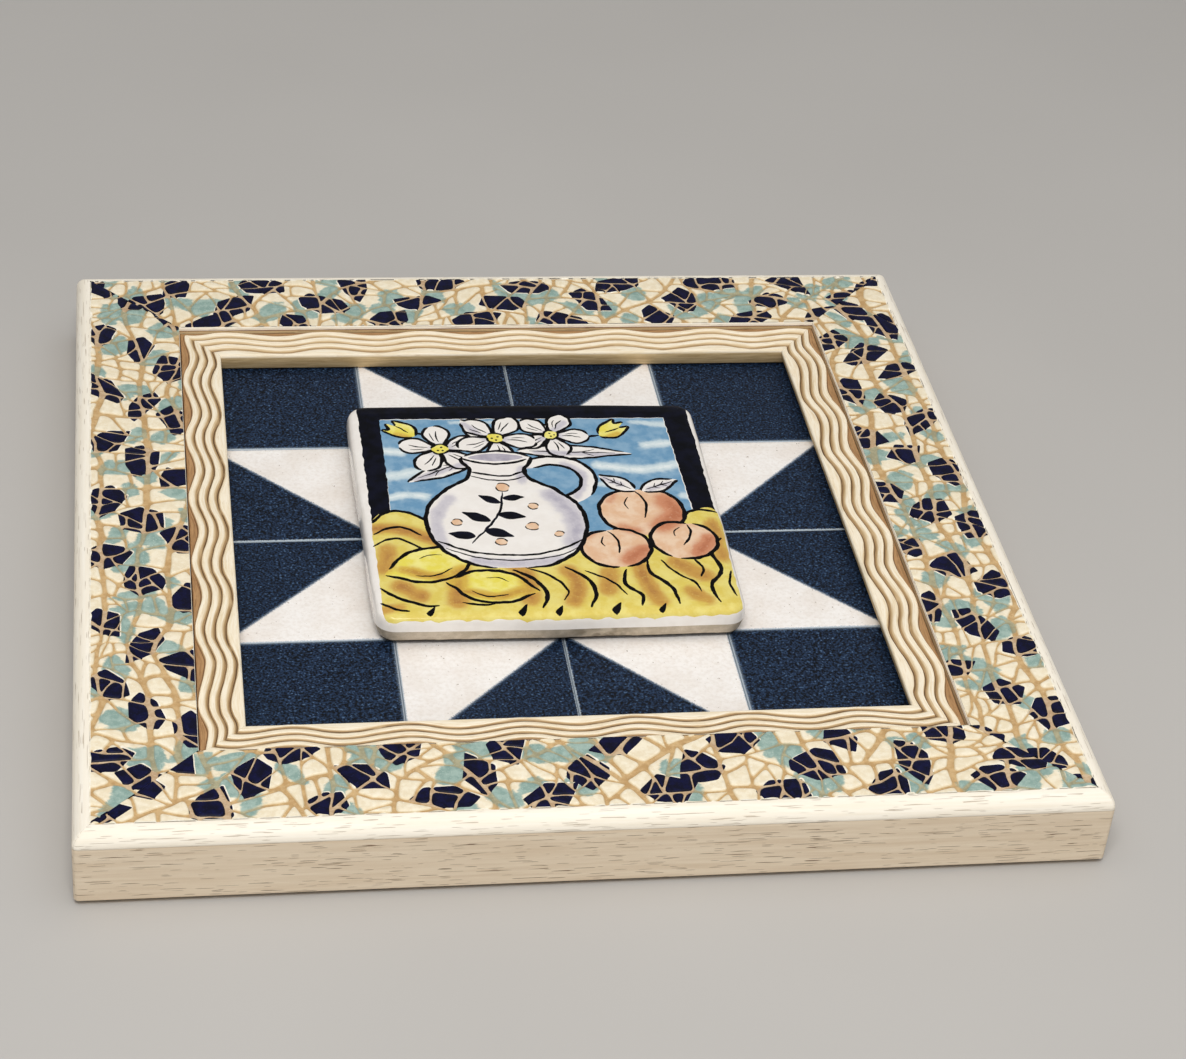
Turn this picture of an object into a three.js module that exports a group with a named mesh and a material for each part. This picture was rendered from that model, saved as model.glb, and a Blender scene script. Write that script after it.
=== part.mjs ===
// Framed mosaic panel, lying on its back with the picture face up.
// Millimetres, +Z out of the face, +Y towards the top edge of the picture.
// The origin is the middle of the back, in the plane that meets the wall.
import * as THREE from 'three';

// Outer moulding: plain side, quarter-round bead, gently dished printed face, small lip.
const FRAME_HALF = 145.3;
const FRAME_TOP = 23.65;
const BEAD_RADIUS = 4.75;
const BEAD_STEPS = 6;
const LIP_HALF = 110.7;
const LIP_TOP = 22.9;
const LIP_EASE = 0.5;
const REBATE_HALF = 102.0;
const LEDGE_TOP = 13.5;
const BACK_EASE = 0.5;

// Wave-carved liner that sits on the ledge of the outer moulding.
const LINER_OUTER_HALF = 110.4;
const LINER_INNER_HALF = 97.1;
const LINER_FOOT_HALF = 98.9;
const LINER_BOTTOM = 13.8;
const LINER_TOP_OUTER = 21.4;
const LINER_TOP_INNER = 20.0;
const LINER_NOSE_DROP = 1.3;
const LINER_NOSE_EASE = 0.3;
const RIDGE_COUNT = 3;
const RIDGE_PITCH = 3.1;
const RIDGE_CREST_HALF = 0.5;
const GROOVE_SIDE = 0.8;
const RIDGE_DEPTH = 0.9;
const FIRST_RIDGE_HALF = 107.2;
const WAVE_LENGTH = 33.3;
const WAVE_SWING = 1.15;
const WAVE_STEPS = 48;
const WAVE_PHASE = { front: 0.68, right: 0.32, back: 0.58, left: 0.36 };

// Field of square tiles on the backing board.
const TILE_PITCH = 50.8;
const TILE_JOINT = 0.6;
const TILE_CORNER = 0.9;
const TILE_EASE = 0.4;
const FIELD_TOP = 13.2;
const TILE_THICKNESS = 6.4;
const TILES_PER_SIDE = 4;
const BOARD_SIDE = 203.2;
const BOARD_THICKNESS = 6.5;

// Hand-pressed picture tile that lies on the middle of the field.
const PICTURE_FRONT_HALF = 56.2;
const PICTURE_BACK_HALF = 57.2;
const PICTURE_DEPTH = 113.8;
const PICTURE_CENTRE_Y = 1.0;
const PICTURE_TURN = -0.004;
const PICTURE_CORNER = 6.5;
const PICTURE_CORNER_STEPS = 5;
const PICTURE_LIFT = 0.8;
const PICTURE_BOW = 0.35;
// Each entry is [inset from the widest outline, height above the tile's underside].
const PICTURE_PROFILE = [
  [2.4, 0],
  [1.0, 1.3],
  [0.2, 3.0],
  [0, 5.2],
  [0.3, 7.6],
  [1.3, 9.3],
  [3.0, 10.2],
  [6.2, 10.6],
];

const MITRE_GAP = 0.3;
const SIDES = ['front', 'right', 'back', 'left'];

const limedWood = { color: 0xe9dfca, roughness: 0.6, metalness: 0 };
const linerWood = { color: 0xe6cfa4, roughness: 0.65, metalness: 0 };
const navyGlaze = { color: 0x1d2a44, roughness: 0.35, metalness: 0 };
const whiteGlaze = { color: 0xeae3dc, roughness: 0.4, metalness: 0 };
const pictureGlaze = { color: 0xe0c45c, roughness: 0.2, metalness: 0 };
const boardWood = { color: 0x8a6a45, roughness: 0.8, metalness: 0 };

function makeMesh(name, geometry, look) {
  const mesh = new THREE.Mesh(geometry, new THREE.MeshStandardMaterial(look));
  mesh.name = name;
  return mesh;
}

// Section of the outer moulding, as [half-width from the centre, height] pairs.
function frameSection() {
  const section = [
    [REBATE_HALF, 0],
    [FRAME_HALF - BACK_EASE, 0],
    [FRAME_HALF, BACK_EASE],
  ];
  const beadCentre = [FRAME_HALF - BEAD_RADIUS, FRAME_TOP - BEAD_RADIUS];
  for (let i = 0; i <= BEAD_STEPS; i += 1) {
    const angle = (i / BEAD_STEPS) * Math.PI / 2;
    section.push([
      beadCentre[0] + BEAD_RADIUS * Math.cos(angle),
      beadCentre[1] + BEAD_RADIUS * Math.sin(angle),
    ]);
  }
  section.push(
    [LIP_HALF + LIP_EASE, LIP_TOP],
    [LIP_HALF, LIP_TOP - LIP_EASE],
    [LIP_HALF, LEDGE_TOP],
    [REBATE_HALF, LEDGE_TOP],
  );
  return section;
}

// Height of the liner's face before it is carved, falling from the lip to the nose.
function linerFaceHeight(half) {
  const across = (half - LINER_INNER_HALF) / (LINER_OUTER_HALF - LINER_INNER_HALF);
  return LINER_TOP_INNER + across * (LINER_TOP_OUTER - LINER_TOP_INNER);
}

// Section of the liner: flat band, three ridges between V grooves, rounded nose, wall.
function linerSection() {
  const carved = [];
  for (let i = 0; i < RIDGE_COUNT; i += 1) {
    const crest = FIRST_RIDGE_HALF - i * RIDGE_PITCH;
    const groove = crest + RIDGE_PITCH / 2;
    carved.push([groove, linerFaceHeight(groove) - RIDGE_DEPTH]);
    carved.push([crest + RIDGE_CREST_HALF, linerFaceHeight(crest)]);
    carved.push([crest - RIDGE_CREST_HALF, linerFaceHeight(crest)]);
  }
  const lastGroove = FIRST_RIDGE_HALF - (RIDGE_COUNT - 0.5) * RIDGE_PITCH;
  carved.push([lastGroove, linerFaceHeight(lastGroove) - RIDGE_DEPTH]);
  return [
    [LINER_FOOT_HALF, LINER_BOTTOM],
    [LINER_OUTER_HALF, LINER_BOTTOM],
    [LINER_OUTER_HALF, LINER_TOP_OUTER - RIDGE_DEPTH],
    ...carved,
    [lastGroove - GROOVE_SIDE, LINER_TOP_INNER],
    [LINER_INNER_HALF + LINER_NOSE_EASE, LINER_TOP_INNER - LINER_NOSE_EASE / 2],
    [LINER_INNER_HALF, LINER_TOP_INNER - LINER_NOSE_DROP],
  ];
}

// Only the carved lines swing: the band's outer edge, the nose and the foot run straight.
function isCarved(half, height) {
  const carvedStart = FIRST_RIDGE_HALF + RIDGE_PITCH / 2;
  const carvedEnd = carvedStart - RIDGE_COUNT * RIDGE_PITCH - GROOVE_SIDE;
  const margin = 0.05;
  const isFoot = height < LINER_BOTTOM + margin;
  return !isFoot && half < carvedStart + margin && half > carvedEnd - margin;
}

// Sweeps a section along one side, with 45 degree mitres at both ends. The swing
// function moves a section point outwards at a place along the side.
function makeRail(section, steps, swing) {
  const shape = new THREE.Shape(section.map(([half, height]) => new THREE.Vector2(-half, height)));
  const geometry = new THREE.ExtrudeGeometry(shape, { depth: 2, steps, bevelEnabled: false });
  const position = geometry.attributes.position;
  const endGap = MITRE_GAP / Math.SQRT2;
  for (let i = 0; i < position.count; i += 1) {
    const half = -position.getX(i);
    const height = position.getY(i);
    const along = position.getZ(i) - 1;
    const moved = half + swing(half, height, along * (half - endGap));
    position.setXYZ(i, along * (moved - endGap), -moved, height);
  }
  geometry.computeVertexNormals();
  return geometry;
}

function makeRailSet(baseName, section, steps, look, swingFor) {
  const set = new THREE.Group();
  SIDES.forEach((side, turn) => {
    const rail = makeMesh(`${baseName}_${side}`, makeRail(section, steps, swingFor(side)), look);
    rail.rotation.z = turn * Math.PI / 2;
    set.add(rail);
  });
  return set;
}

function makeFrame() {
  return makeRailSet('frame_rail', frameSection(), 1, limedWood, () => () => 0);
}

function makeLiner() {
  const swingFor = (side) => (half, height, along) => {
    if (!isCarved(half, height)) return 0;
    return WAVE_SWING * Math.sin(2 * Math.PI * (along / WAVE_LENGTH - WAVE_PHASE[side]));
  };
  return makeRailSet('liner_rail', linerSection(), WAVE_STEPS, linerWood, swingFor);
}

function roundedSquare(side, corner) {
  const half = side / 2;
  const inner = half - corner;
  const shape = new THREE.Shape();
  shape.moveTo(half, -inner);
  shape.lineTo(half, inner);
  shape.absarc(inner, inner, corner, 0, Math.PI / 2);
  shape.lineTo(-inner, half);
  shape.absarc(-inner, inner, corner, Math.PI / 2, Math.PI);
  shape.lineTo(-half, -inner);
  shape.absarc(-inner, -inner, corner, Math.PI, 1.5 * Math.PI);
  shape.lineTo(inner, -half);
  shape.absarc(inner, -inner, corner, 1.5 * Math.PI, 2 * Math.PI);
  return shape;
}

function makeFieldTileGeometry() {
  const side = TILE_PITCH - TILE_JOINT - 2 * TILE_EASE;
  const geometry = new THREE.ExtrudeGeometry(roundedSquare(side, TILE_CORNER), {
    depth: TILE_THICKNESS - 2 * TILE_EASE,
    curveSegments: 2,
    bevelEnabled: true,
    bevelSize: TILE_EASE,
    bevelThickness: TILE_EASE,
    bevelSegments: 1,
  });
  geometry.translate(0, 0, TILE_EASE);
  return geometry;
}

// Corner tiles are navy; the others are split between navy and white, and show as white.
function isCornerTile(row, column) {
  const last = TILES_PER_SIDE - 1;
  return (row === 0 || row === last) && (column === 0 || column === last);
}

function makeTileField() {
  const field = new THREE.Group();
  const firstCentre = -TILE_PITCH * (TILES_PER_SIDE - 1) / 2;
  for (let row = 0; row < TILES_PER_SIDE; row += 1) {
    for (let column = 0; column < TILES_PER_SIDE; column += 1) {
      const look = isCornerTile(row, column) ? navyGlaze : whiteGlaze;
      const tile = makeMesh(`star_tile_${row + 1}_${column + 1}`, makeFieldTileGeometry(), look);
      tile.position.x = firstCentre + column * TILE_PITCH;
      tile.position.y = firstCentre + row * TILE_PITCH;
      field.add(tile);
    }
  }
  field.position.z = FIELD_TOP - TILE_THICKNESS;
  return field;
}

// Outline of the picture tile, a rounded trapezium drawn in by an inset.
function pictureOutline(inset) {
  const halfDepth = PICTURE_DEPTH / 2;
  const halfWidth = (PICTURE_FRONT_HALF + PICTURE_BACK_HALF) / 2;
  const corners = [
    [PICTURE_FRONT_HALF, -halfDepth, -Math.PI / 2],
    [PICTURE_BACK_HALF, halfDepth, 0],
    [-PICTURE_BACK_HALF, halfDepth, Math.PI / 2],
    [-PICTURE_FRONT_HALF, -halfDepth, Math.PI],
  ];
  const radius = Math.max(PICTURE_CORNER - inset, 1);
  const points = [];
  corners.forEach(([x, y, startAngle]) => {
    const centreX = x - Math.sign(x) * (radius + inset);
    const centreY = y - Math.sign(y) * (radius + inset);
    for (let i = 0; i <= PICTURE_CORNER_STEPS; i += 1) {
      const angle = startAngle + (i / PICTURE_CORNER_STEPS) * Math.PI / 2;
      points.push([centreX + radius * Math.cos(angle), centreY + radius * Math.sin(angle)]);
    }
    const sideAngle = startAngle + Math.PI / 2;
    const onFlank = Math.abs(Math.cos(sideAngle)) > 0.5;
    const reach = (onFlank ? halfWidth : halfDepth) - inset + PICTURE_BOW;
    points.push([
      reach * Math.round(Math.cos(sideAngle)),
      reach * Math.round(Math.sin(sideAngle)),
    ]);
  });
  return points;
}

// Joins the outlines of the picture tile into one closed body with flat ends.
function makePictureTile() {
  const rings = PICTURE_PROFILE.map(([inset, height]) => (
    pictureOutline(inset).map(([x, y]) => [x, y, height])
  ));
  const count = rings[0].length;
  const index = [];
  for (let level = 0; level < rings.length - 1; level += 1) {
    for (let i = 0; i < count; i += 1) {
      const next = (i + 1) % count;
      const low = level * count;
      const high = low + count;
      index.push(low + i, low + next, high + next);
      index.push(low + i, high + next, high + i);
    }
  }
  const top = (rings.length - 1) * count;
  for (let i = 1; i < count - 1; i += 1) {
    index.push(0, i + 1, i);
    index.push(top, top + i, top + i + 1);
  }
  const geometry = new THREE.BufferGeometry();
  geometry.setAttribute('position', new THREE.Float32BufferAttribute(rings.flat(2), 3));
  geometry.setIndex(index);
  geometry.computeVertexNormals();
  const tile = makeMesh('picture_tile', geometry, pictureGlaze);
  tile.position.set(0, PICTURE_CENTRE_Y, FIELD_TOP + PICTURE_LIFT);
  tile.rotation.z = PICTURE_TURN;
  return tile;
}

function makeBackingBoard() {
  const geometry = new THREE.BoxGeometry(BOARD_SIDE, BOARD_SIDE, BOARD_THICKNESS);
  const board = makeMesh('backing_board', geometry, boardWood);
  board.position.z = BOARD_THICKNESS / 2;
  return board;
}

const panel = new THREE.Group();
panel.add(makeFrame(), makeLiner(), makeTileField(), makePictureTile(), makeBackingBoard());

export default panel;
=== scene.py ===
"""Looks of the framed mosaic panel: limed moulding with a printed mosaic face, wave-carved
liner, star field of glazed tiles, and a hand-painted picture tile. Sizes are in millimetres
until a mesh is made, and in the same frame as the CAD part."""

import math
import random

import bpy
import numpy as np
from mathutils import Matrix, Vector, noise
from mathutils.geometry import delaunay_2d_cdt


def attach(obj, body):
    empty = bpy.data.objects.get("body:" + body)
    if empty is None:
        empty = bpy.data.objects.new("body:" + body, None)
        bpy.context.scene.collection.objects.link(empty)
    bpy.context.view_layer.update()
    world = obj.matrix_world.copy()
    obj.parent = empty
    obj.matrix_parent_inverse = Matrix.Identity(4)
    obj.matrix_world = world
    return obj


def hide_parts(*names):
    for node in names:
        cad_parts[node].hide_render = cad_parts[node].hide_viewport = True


MM = 0.001
SIDES = ("front", "right", "back", "left")

# Outer moulding.
FRAME_HALF = 145.3
FRAME_TOP = 23.65
BEAD_RADIUS = 4.75
FACE_OUTER = FRAME_HALF - BEAD_RADIUS
LIP_HALF = 110.7
LIP_TOP = 22.9
LIP_EASE = 0.16
FACE_INNER = LIP_HALF + LIP_EASE
REBATE_HALF = 102.0
LEDGE_TOP = 13.5
CORNER_EASE = 1.5
GAP_HEIGHT = 0.45
GAP_DEPTH = 0.4
MITRE_GAP = 0.02

# Printed and embossed mosaic.
RELIEF = 0.42
SHOULDER = 0.45
PIECE_AREA = 50.0
CRACKS = (0.44, 0.39, 0.35, 0.32)
NAVY_SHARE = 0.62
UNDERPRINT = ((0.30, -0.38), (-0.30, -0.40))
PRINT_GRID = 1.3
TINT_EDGE = 1.7
(BEAD, GROUT, PALE, NAVY, NAVY_GROUT, UNDERLAY, SIDE, RAW, LIP_SHADOW, PAINTED_SHADOW_RECESS) = range(10)

# Wave-carved liner.
LINER_OUTER = 110.4
LINER_INNER = 97.1
LINER_FOOT = 98.9
LINER_BOTTOM = 13.8
LINER_TOP_OUTER = 21.4
LINER_TOP_INNER = 20.0
RIDGES = 3
RIDGE_PITCH = 3.1
RIDGE_DEPTH = 0.9
FIRST_RIDGE = 107.55
CARVED_OUTER = FIRST_RIDGE + RIDGE_PITCH / 2
CARVED_INNER = CARVED_OUTER - RIDGES * RIDGE_PITCH
WAVE_LENGTH = 33.3
WAVE_SWING = 1.32
WAVE_FADE = 8.0
WAVE_PHASE = {"front": 0.68, "right": 0.32, "back": 0.58, "left": 0.36}

# Star field.
TILE_PITCH = 50.8
TILE_GAP = 0.14
FIELD_TOP = 13.2
TILE_THICKNESS = 6.4
STAR_UNIT = TILE_PITCH

# Picture tile.
PICTURE_CORNERS = ((56.5, -57.6), (57.7, 57.2), (-57.7, 58.1), (-56.5, -57.6))
PICTURE_CENTRE = (-0.5, 1.9)
PICTURE_TURN = -0.004
PICTURE_CORNER = 6.5
PICTURE_LIFT = 0.8
PICTURE_TOP = ((0, 5.2), (0.12, 6.8), (0.3, 8.1), (0.6, 8.9), (1.0, 9.45), (1.6, 9.85),
               (3.0, 10.2), (6.2, 10.5), (30, 10.65))
PICTURE_FOOT = ((0, 5.2), (0.1, 5.0), (0.5, 3.6), (1.1, 1.7), (1.7, 0.5), (2.1, 0.3), (5.0, 0.2))

FLOOR_DROP = 1.2

# Camera.
CAMERA_PLACE = (-126.6, -704.7, 529.3)
CAMERA_RIGHT = (0.98657, -0.14309, 0.07871)
CAMERA_UP = (0.02050, 0.58663, 0.80960)
CAMERA_LENS = 84.47
SENSOR = 36.0


def srgb(code):
    """Linear colour of a hex code."""
    parts = [int(code[i:i + 2], 16) / 255 for i in (0, 2, 4)]
    return [c / 12.92 if c <= 0.04045 else ((c + 0.055) / 1.055) ** 2.4 for c in parts]


class Look:
    """One procedural material. Inputs may be numbers, hex colours or other sockets."""

    def __init__(self, name, roughness=0.5, coat=0.0, specular=0.4):
        self.material = bpy.data.materials.new(name)
        self.material.use_nodes = True
        self.tree = self.material.node_tree
        self.shader = self.tree.nodes["Principled BSDF"]
        self.shader.inputs["Roughness"].default_value = roughness
        self.shader.inputs["Specular IOR Level"].default_value = specular
        self.shader.inputs["Coat Weight"].default_value = coat
        self.shader.inputs["Coat Roughness"].default_value = 0.12
        self.height = None

    def feed(self, socket, value):
        if isinstance(value, str):
            socket.default_value = (*srgb(value), 1)
        elif isinstance(value, bpy.types.NodeSocket):
            self.tree.links.new(value, socket)
        else:
            socket.default_value = value

    def node(self, kind, **settings):
        made = self.tree.nodes.new(kind)
        for key, value in settings.items():
            setattr(made, key, value)
        return made

    def math(self, operation, *values, clamp=False):
        made = self.node("ShaderNodeMath", operation=operation, use_clamp=clamp)
        for socket, value in zip(made.inputs, values):
            self.feed(socket, value)
        return made.outputs[0]

    def step(self, value, low, high):
        """Smooth step of a value from 0 at low to 1 at high."""
        made = self.node("ShaderNodeMapRange", interpolation_type="SMOOTHSTEP")
        for key, given in (("Value", value), ("From Min", low), ("From Max", high)):
            self.feed(made.inputs[key], given)
        return made.outputs["Result"]

    def mix(self, factor, first, second):
        made = self.node("ShaderNodeMix", data_type="RGBA")
        self.feed(made.inputs["Factor"], factor)
        self.feed(made.inputs[6], first)
        self.feed(made.inputs[7], second)
        return made.outputs[2]

    def place(self, stretch=(1, 1, 1)):
        """Object coordinates in millimetres, stretched."""
        source = self.node("ShaderNodeTexCoord").outputs["Object"]
        return self.scaled(source, [s / MM for s in stretch])

    def scaled(self, vector, factors):
        made = self.node("ShaderNodeVectorMath", operation="MULTIPLY")
        self.feed(made.inputs[0], vector)
        made.inputs[1].default_value = factors
        return made.outputs[0]

    def along_rail(self, stretch=(1, 1, 1)):
        """Millimetres along the rail, across it, and up."""
        source = self.node("ShaderNodeAttribute", attribute_name="rail").outputs["Vector"]
        return self.scaled(source, stretch)

    def value(self, attribute):
        return self.node("ShaderNodeAttribute", attribute_name=attribute).outputs["Fac"]

    def split(self, vector):
        made = self.node("ShaderNodeSeparateXYZ")
        self.feed(made.inputs[0], vector)
        return made.outputs[0], made.outputs[1], made.outputs[2]

    def noise(self, vector, size, detail=2.0, rough=0.5):
        """Noise whose features are about size millimetres."""
        made = self.node("ShaderNodeTexNoise")
        self.feed(made.inputs["Vector"], vector)
        made.inputs["Scale"].default_value = 1 / size
        made.inputs["Detail"].default_value = detail
        made.inputs["Roughness"].default_value = rough
        return made.outputs["Fac"]

    def bump(self, height, depth):
        """Adds a bump of about depth millimetres under those already there."""
        made = self.node("ShaderNodeBump")
        made.inputs["Strength"].default_value = 1.0
        made.inputs["Distance"].default_value = depth * MM
        self.feed(made.inputs["Height"], height)
        if self.height is not None:
            self.feed(made.inputs["Normal"], self.height)
        self.height = made.outputs["Normal"]

    def finish(self, colour, roughness=None):
        self.feed(self.shader.inputs["Base Color"], colour)
        if roughness is not None:
            self.feed(self.shader.inputs["Roughness"], roughness)
        if self.height is not None:
            self.feed(self.shader.inputs["Normal"], self.height)
        return self.material


# ---------------------------------------------------------------- plane geometry

def spline(points, closed=False, step=0.9):
    """Evenly cut Catmull-Rom curve through the points."""
    given = [np.array(p, float) for p in points]
    count = len(given)
    spans = count if closed else count - 1

    def at(i):
        return given[i % count] if closed else given[min(max(i, 0), count - 1)]

    curve = []
    for i in range(spans):
        p0, p1, p2, p3 = at(i - 1), at(i), at(i + 1), at(i + 2)
        cuts = max(2, math.ceil(np.linalg.norm(p2 - p1) / step))
        for k in range(cuts):
            t = k / cuts
            curve.append(0.5 * (2 * p1 + (p2 - p0) * t + (2 * p0 - 5 * p1 + 4 * p2 - p3) * t * t
                                + (3 * p1 - p0 - 3 * p2 + p3) * t ** 3))
    if not closed:
        curve.append(given[-1])
    return np.array(curve)


def wobble(points, size, amount, seed=0.0):
    """Moves each point by smooth noise, so that an edge looks drawn by hand."""
    moved = []
    for x, y in points:
        shift = noise.noise_vector(Vector((x / size, y / size, seed)))
        moved.append((x + amount * shift.x, y + amount * shift.y))
    return np.array(moved)


def by_hand(points):
    """The same slight waver for a painted area and for the line round it."""
    return wobble(points, 3.0, 0.35, 1.0)


def ribbon(line, width, taper=0.16):
    """Outline of a brush stroke along a line, swelling in the middle and thin at its ends."""
    run = np.gradient(line, axis=0)
    run /= np.linalg.norm(run, axis=1)[:, None] + 1e-9
    side = np.stack([-run[:, 1], run[:, 0]], 1)
    place = np.linspace(0, 1, len(line))
    swell = np.clip(np.minimum(place, 1 - place) / taper, 0, 1) ** 0.6
    grain = np.array([noise.noise(Vector((x / 2.3, y / 2.3, 5.0))) for x, y in line])
    half = width / 2 * (0.25 + 0.75 * swell) * (1 + 0.30 * grain)
    loop = np.concatenate([line + side * half[:, None], (line - side * half[:, None])[::-1]])
    return wobble(loop, 0.8, 0.13)


def inside(points, loop):
    """Which points lie in the loop."""
    x, y = points[:, 0], points[:, 1]
    found = np.zeros(len(points), bool)
    ends = np.roll(loop, -1, axis=0)
    for (x0, y0), (x1, y1) in zip(loop, ends):
        if y0 == y1:
            continue
        found ^= ((y0 > y) != (y1 > y)) & (x < (x1 - x0) * (y - y0) / (y1 - y0) + x0)
    return found


def in_box(points, loop):
    """Indices of the points in the loop's own box, to keep the slow tests short."""
    low, high = loop.min(0), loop.max(0)
    return np.nonzero(((points >= low) & (points <= high)).all(1))[0]


def mark_inside(points, loops):
    """For each point, the number of the last loop that holds it, or -1."""
    owner = np.full(len(points), -1)
    for number, loop in enumerate(loops):
        near = in_box(points, loop)
        held = near[inside(points[near], loop)]
        owner[held] = number
    return owner


def distance_to(points, line, closed=True):
    """Shortest distance from each point to a polyline."""
    starts = line if closed else line[:-1]
    ends = np.roll(line, -1, axis=0) if closed else line[1:]
    best = np.full(len(points), 1e9)
    for a, b in zip(starts, ends):
        run = b - a
        length = max(run @ run, 1e-12)
        t = np.clip((points - a) @ run / length, 0, 1)
        gap = points - a - t[:, None] * run
        best = np.minimum(best, (gap ** 2).sum(1))
    return np.sqrt(best)


def tessellate(loops, extra=()):
    """Triangles of the plane that keep every loop's edges."""
    coords = [Vector(p) for p in extra]
    edges = []
    for loop in loops:
        start = len(coords)
        coords += [Vector((float(x), float(y))) for x, y in loop]
        count = len(loop)
        edges += [(start + i, start + (i + 1) % count) for i in range(count)]
    verts, _, faces, *_ = delaunay_2d_cdt(coords, edges, [], 0, 1e-4)
    points = np.array([(v.x, v.y) for v in verts])
    corners = np.array(faces)
    a, b, c = (points[corners[:, k]] for k in range(3))
    area = (b[:, 0] - a[:, 0]) * (c[:, 1] - a[:, 1]) - (b[:, 1] - a[:, 1]) * (c[:, 0] - a[:, 0])
    corners[area < 0] = corners[area < 0][:, ::-1]
    return points, corners[np.abs(area) > 1e-7]


def keep_inside(points, corners, outline):
    """Drops the triangles outside an outline, and the points that nothing uses."""
    centres = points[corners].mean(1)
    corners = corners[inside(centres, np.array(outline, float))]
    used, packed = np.unique(corners, return_inverse=True)
    return points[used], packed.reshape(corners.shape)


# ---------------------------------------------------------------- mesh making

def make_piece(name, points, faces, looks, face_looks, stands_for, values=None, rails=None):
    """Makes a smooth mesh from millimetres, that stands for its CAD nodes."""
    mesh = bpy.data.meshes.new(name)
    mesh.from_pydata((np.asarray(points) * MM).tolist(), [], [list(map(int, f)) for f in faces])
    for look in looks:
        mesh.materials.append(look)
    mesh.polygons.foreach_set("material_index", np.asarray(face_looks, np.int32))
    mesh.polygons.foreach_set("use_smooth", np.ones(len(mesh.polygons), bool))
    for key, numbers in (values or {}).items():
        attribute = mesh.attributes.new(key, "FLOAT", "POINT")
        attribute.data.foreach_set("value", np.asarray(numbers, np.float32))
    if rails is not None:
        attribute = mesh.attributes.new("rail", "FLOAT_VECTOR", "POINT")
        attribute.data.foreach_set("vector", np.asarray(rails, np.float32).ravel())
    mesh.update()
    piece = bpy.data.objects.new(name, mesh)
    bpy.context.collection.objects.link(piece)
    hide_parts(*stands_for)
    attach(piece, "root")
    return piece


def turned(along, out, height, turn):
    """Row-frame points of a rail's own (along, outward, up) places."""
    x, y = along, -out
    for _ in range(turn):
        x, y = -y, x
    return np.stack([x, y, height], -1)


def grid_faces(rows, columns, closed):
    """Quads between rows of points; closed joins the last column to the first."""
    faces = []
    last = columns if closed else columns - 1
    for r in range(rows - 1):
        for c in range(last):
            n = (c + 1) % columns
            faces.append((r * columns + c, r * columns + n,
                          (r + 1) * columns + n, (r + 1) * columns + c))
    return faces


# ---------------------------------------------------------------- mosaic

def clip(loop, point, normal, width):
    """Part of a convex loop on the normal's side. Each entry is (x, y, half-width of its edge)."""
    kept = []
    side = [(p[0] - point[0]) * normal[0] + (p[1] - point[1]) * normal[1] for p in loop]
    for i, p in enumerate(loop):
        q, sp, sq = loop[(i + 1) % len(loop)], side[i], side[(i + 1) % len(loop)]
        if sp >= 0:
            kept.append(p)
        if (sp >= 0) != (sq >= 0):
            t = sp / (sp - sq)
            kept.append((p[0] + t * (q[0] - p[0]), p[1] + t * (q[1] - p[1]),
                         width if sp >= 0 else p[2]))
    return kept


def area_of(loop):
    total = 0.0
    for i, p in enumerate(loop):
        q = loop[(i + 1) % len(loop)]
        total += p[0] * q[1] - q[0] * p[1]
    return abs(total) / 2


def drawn_in(loop, extra, share=1.0):
    """The loop with each edge moved in by a share of its own half-width and a bit more."""
    shrunk = loop
    for i, p in enumerate(loop):
        q = loop[(i + 1) % len(loop)]
        run = math.hypot(q[0] - p[0], q[1] - p[1])
        if run < 1e-6:
            continue
        normal = (-(q[1] - p[1]) / run, (q[0] - p[0]) / run)
        gap = p[2] * share + extra
        shrunk = clip(shrunk, (p[0] + normal[0] * gap, p[1] + normal[1] * gap), normal, p[2])
        if len(shrunk) < 3:
            return []
    return shrunk


def rounded(loop, radius):
    """The loop with its corners cut to short curves and its sides cut up, as points."""
    points = []
    count = len(loop)
    for i in range(count):
        before, here, after = (np.array(loop[(i + k) % count][:2]) for k in (-1, 0, 1))
        back, on = before - here, after - here
        lengths = np.linalg.norm(back), np.linalg.norm(on)
        if min(lengths) < 1e-4:
            continue
        start = here + back * min(radius / lengths[0], 0.42)
        end = here + on * min(radius / lengths[1], 0.42)
        for t in (0, 0.33, 0.67, 1):
            points.append((1 - t) ** 2 * start + 2 * t * (1 - t) * here + t * t * end)
        if lengths[1] > 3 * radius:
            points.append(here + on * 0.5)
    return np.array(points)


def fracture(loop, chance, size, level, widths):
    """Breaks a convex loop into crazy paving, with narrower joints at each level."""
    xs, ys = [p[0] for p in loop], [p[1] for p in loop]
    area = area_of(loop)
    if area < size * chance.uniform(0.75, 1.9) or level > 12:
        return [loop]
    wide, tall = max(xs) - min(xs), max(ys) - min(ys)
    points = np.array([p[:2] for p in loop])
    spread = np.cov((points - points.mean(0)).T)
    if max(wide, tall) > 2.5 * min(wide, tall):
        axis = 0.0 if wide > tall else math.pi / 2
    else:
        _, vectors = np.linalg.eigh(spread)
        axis = math.atan2(vectors[1, 1], vectors[0, 1])
    axis += chance.gauss(0, 0.30)
    normal = (math.cos(axis), math.sin(axis))
    reach = [p[0] * normal[0] + p[1] * normal[1] for p in loop]
    place = min(reach) + (max(reach) - min(reach)) * chance.uniform(0.36, 0.64)
    centre = (sum(xs) / len(xs), sum(ys) / len(ys))
    shift = place - (centre[0] * normal[0] + centre[1] * normal[1])
    point = (centre[0] + normal[0] * shift, centre[1] + normal[1] * shift)
    width = widths[min(level, len(widths) - 1)] * chance.uniform(0.7, 1.3)
    broken = []
    for sign in (1, -1):
        part = clip(loop, point, (normal[0] * sign, normal[1] * sign), width)
        if len(part) > 2 and area_of(part) > 1:
            broken += fracture(part, chance, size, level + 1, widths)
    return broken


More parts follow.
